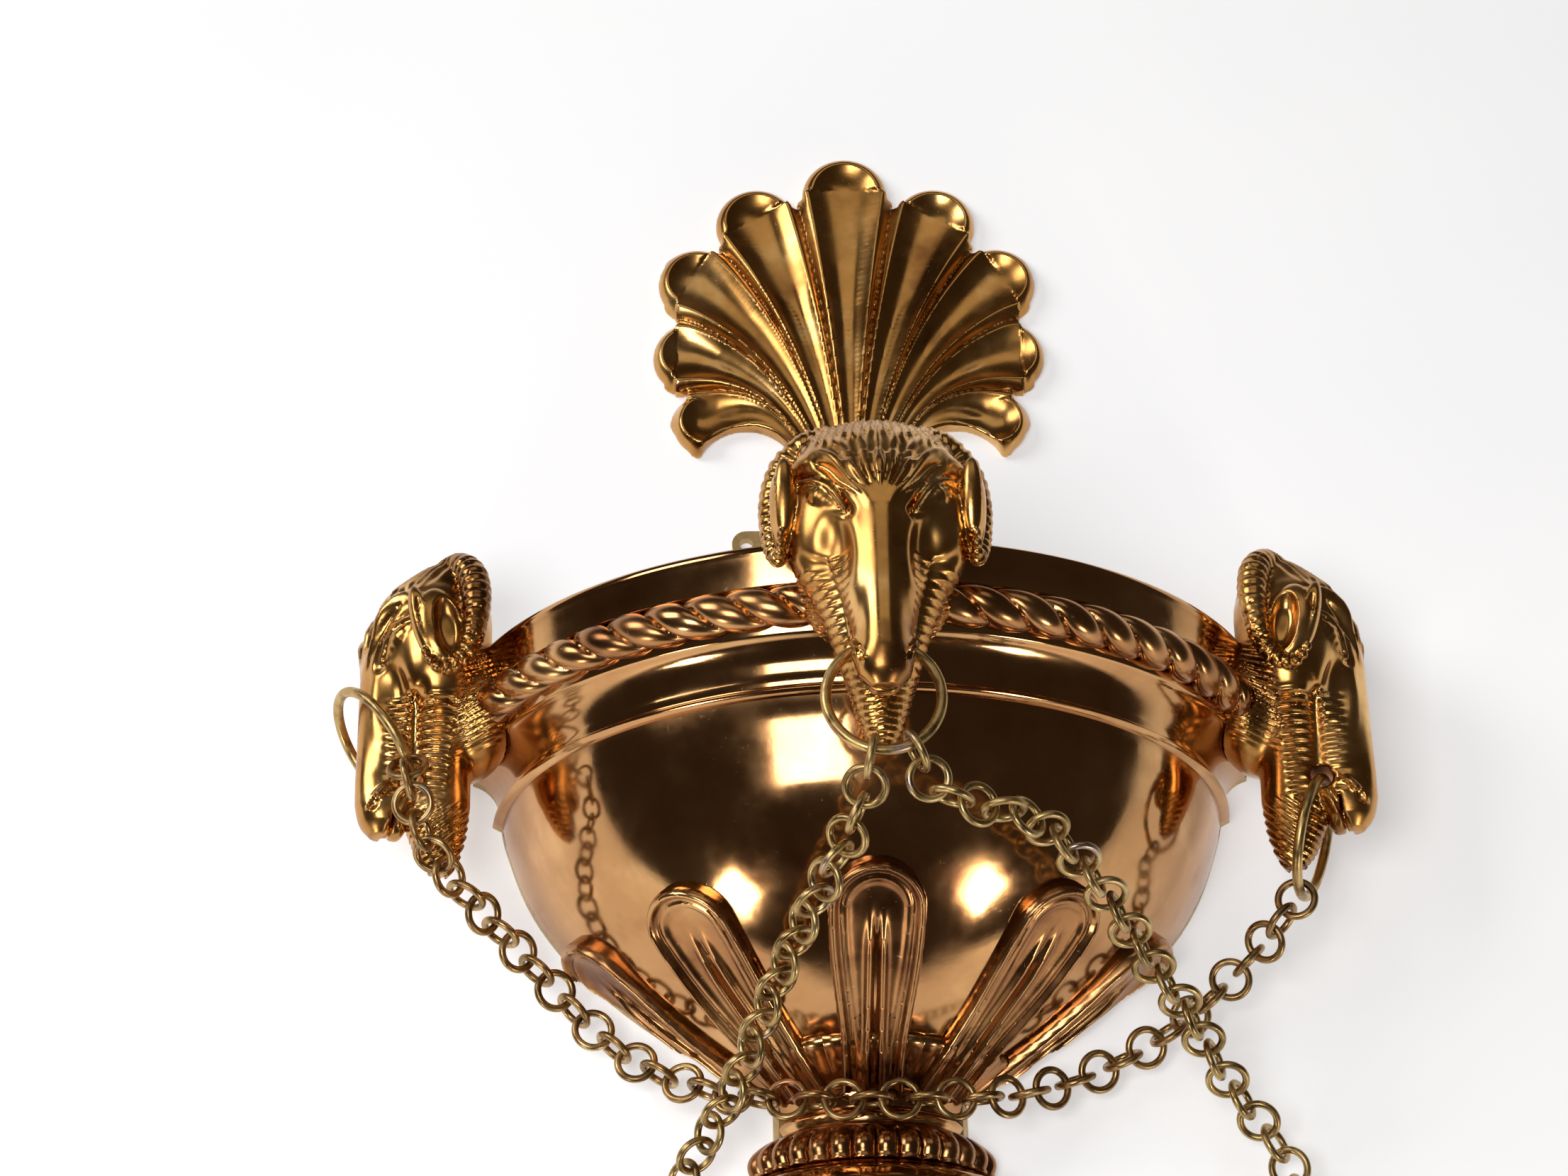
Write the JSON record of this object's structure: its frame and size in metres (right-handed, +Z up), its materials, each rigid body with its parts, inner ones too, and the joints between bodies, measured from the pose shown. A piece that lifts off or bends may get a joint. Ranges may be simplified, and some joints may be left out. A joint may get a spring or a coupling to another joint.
{
  "type": "wall sanctuary lamp",
  "caption": "Part-round wall lamp bowl with ram heads, palmette crest, leaf calyx, knop and finial, hung with ring-held chains, holding a lift-out candle glass.",
  "frame": {"origin": "on the wall plane at the back of the back plate, in the middle, at the level of the bowl's rim", "axes": "+Z up, +Y into the wall, +X to the right as seen from the room"},
  "size_m": [0.2478, 0.1187, 0.3646],
  "materials": {
    "polished_bronze": "polished",
    "gilt_bronze": "polished casting with dark recesses",
    "plain_brass": "satin",
    "chain_brass": "dull antique",
    "steel_fixings": "satin",
    "cup_glass": "clear ruby",
    "candle_wax": "wax",
    "wick_cotton": "charred cotton"
  },
  "bodies": {
    "lamp": {"bowl_shell": "polished_bronze", "back_plate": "plain_brass", "bowl_tabs": "plain_brass", "tab_screws": "steel_fixings", "palmette_crest": "gilt_bronze", "crest_screws": "steel_fixings", "rope_moulding": "gilt_bronze", "ram_head_front": "gilt_bronze", "ram_head_left": "gilt_bronze", "ram_head_right": "gilt_bronze", "head_screw_front": "steel_fixings", "head_screw_left": "steel_fixings", "head_screw_right": "steel_fixings", "leaf_calyx": "gilt_bronze", "gadrooned_knop": "gilt_bronze", "turned_boss": "gilt_bronze", "drop_finial": "gilt_bronze", "tie_rod": "steel_fixings", "tie_washer": "steel_fixings", "tie_nut": "steel_fixings", "glass_bracket": "plain_brass", "bracket_screws": "steel_fixings"},
    "front_ring": {"ring_front": "chain_brass"},
    "left_ring": {"ring_left": "chain_brass"},
    "right_ring": {"ring_right": "chain_brass"},
    "front_chain": {"chain_front": "chain_brass"},
    "swag_chain": {"chain_swag": "chain_brass"},
    "glass": {"glass_cup": "cup_glass", "candle": "candle_wax", "wick": "wick_cotton"}
  },
  "joints": [
    {"name": "front_ring_swing", "type": "hinge", "parent": "lamp", "child": "front_ring", "pos_m": [0, -0.106, -0.033], "axis": [-1, 0, 0], "range_deg": [0, 85]},
    {"name": "front_chain_swing", "type": "hinge", "parent": "front_ring", "child": "front_chain", "pos_m": [0.0015, -0.106, -0.05617], "axis": [-1, 0, 0], "range_deg": [0, 24]},
    {"name": "left_ring_swing", "type": "hinge", "parent": "lamp", "child": "left_ring", "pos_m": [-0.10779, -0.02911, -0.033], "axis": [-0.3256, 0.9455, 0], "range_deg": [-30, 4]},
    {"name": "right_ring_swing", "type": "hinge", "parent": "lamp", "child": "right_ring", "pos_m": [0.10779, -0.02911, -0.033], "axis": [-0.3256, -0.9455, 0], "range_deg": [-3, 1]},
    {"name": "swag_swing", "type": "hinge", "parent": "lamp", "child": "swag_chain", "pos_m": [-0.10659, -0.0391, -0.03019], "axis": [-0.9886, -0.0605, 0.1378], "range_deg": [0, 20]},
    {"name": "glass_lift", "type": "slide", "parent": "lamp", "child": "glass", "axis": [0, 0, 1], "range_m": [0, 0.08]}
  ],
  "couplings": [
    {"joint": "front_chain_swing", "follows": "swag_swing", "ratio": 1.2}
  ]
}
